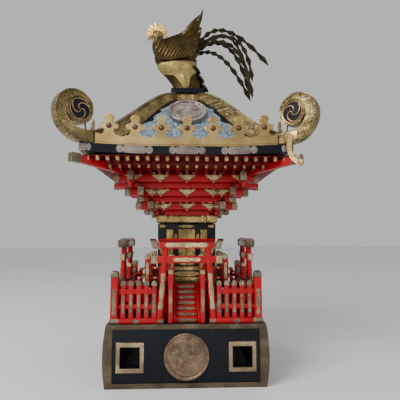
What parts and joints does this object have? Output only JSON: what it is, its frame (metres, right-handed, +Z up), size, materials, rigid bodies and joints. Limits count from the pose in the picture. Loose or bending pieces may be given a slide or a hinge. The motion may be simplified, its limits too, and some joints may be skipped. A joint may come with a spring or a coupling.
{
  "type": "portable shrine",
  "caption": "Portable festival shrine with a black base, red fence and gates, gilt fittings, curled roof ridges and a bronze phoenix.",
  "frame": {"origin": "centre of the base's underside, on the surface that it stands on", "axes": "+Z up, -Y towards the front with the doors, +X to the right as seen from the front"},
  "size_m": [0.7024, 0.7024, 1.197],
  "materials": {
    "black_lacquer": "glossy black lacquer on wood",
    "red_lacquer": "satin red lacquer on wood",
    "old_bronze": "aged brown bronze, chased",
    "gilded_brass": "worn gilding over chased brass",
    "dark_bronze": "dark bronze with rubbed gilt"
  },
  "bodies": {
    "shrine": {"base_front_board": "black_lacquer", "base_right_board": "black_lacquer", "base_back_board": "black_lacquer", "base_left_board": "black_lacquer", "base_deck": "black_lacquer", "podium": "black_lacquer", "sanctuary_walls": "black_lacquer", "eave_board": "black_lacquer", "roof": "black_lacquer", "apex_block": "black_lacquer", "fence_front_left": "red_lacquer", "fence_front_right": "red_lacquer", "fence_back_right": "red_lacquer", "fence_back_left": "red_lacquer", "gate_front": "red_lacquer", "gate_right": "red_lacquer", "gate_back": "red_lacquer", "gate_left": "red_lacquer", "steps_front": "red_lacquer", "steps_right": "red_lacquer", "steps_back": "red_lacquer", "steps_left": "red_lacquer", "veranda_floor": "red_lacquer", "railing_front_left": "red_lacquer", "railing_front_right": "red_lacquer", "railing_back_right": "red_lacquer", "railing_back_left": "red_lacquer", "bracket_tier_lower": "red_lacquer", "bracket_tier_middle": "red_lacquer", "bracket_tier_upper": "red_lacquer", "rafters": "red_lacquer", "base_metal_edging": "old_bronze", "base_crest_front": "old_bronze", "base_crest_right": "old_bronze", "base_crest_back": "old_bronze", "base_crest_left": "old_bronze", "roof_crest_front": "old_bronze", "roof_crest_right": "old_bronze", "roof_crest_back": "old_bronze", "roof_crest_left": "old_bronze", "pole_frame_front_left": "gilded_brass", "pole_frame_front_right": "gilded_brass", "pole_frame_back_left": "gilded_brass", "pole_frame_back_right": "gilded_brass", "head_beam": "gilded_brass", "crest_band_front": "gilded_brass", "crest_band_right": "gilded_brass", "crest_band_back": "gilded_brass", "crest_band_left": "gilded_brass", "ridge_front_right": "gilded_brass", "ridge_back_right": "gilded_brass", "ridge_back_left": "gilded_brass", "ridge_front_left": "gilded_brass", "corner_hook": "gilded_brass", "phoenix_body": "dark_bronze", "phoenix_wing_left": "dark_bronze", "phoenix_wing_right": "dark_bronze", "phoenix_tail": "dark_bronze"},
    "door_left": {"door_left": "gilded_brass"},
    "door_right": {"door_right": "gilded_brass"}
  },
  "joints": [
    {"name": "door_left_hinge", "type": "hinge", "parent": "shrine", "child": "door_left", "pos_m": [-0.026, -0.0938, 0.377], "axis": [0, 0, -1], "range_deg": [0, 100]},
    {"name": "door_right_hinge", "type": "hinge", "parent": "shrine", "child": "door_right", "pos_m": [0.026, -0.0938, 0.377], "axis": [0, 0, 1], "range_deg": [0, 100]}
  ]
}
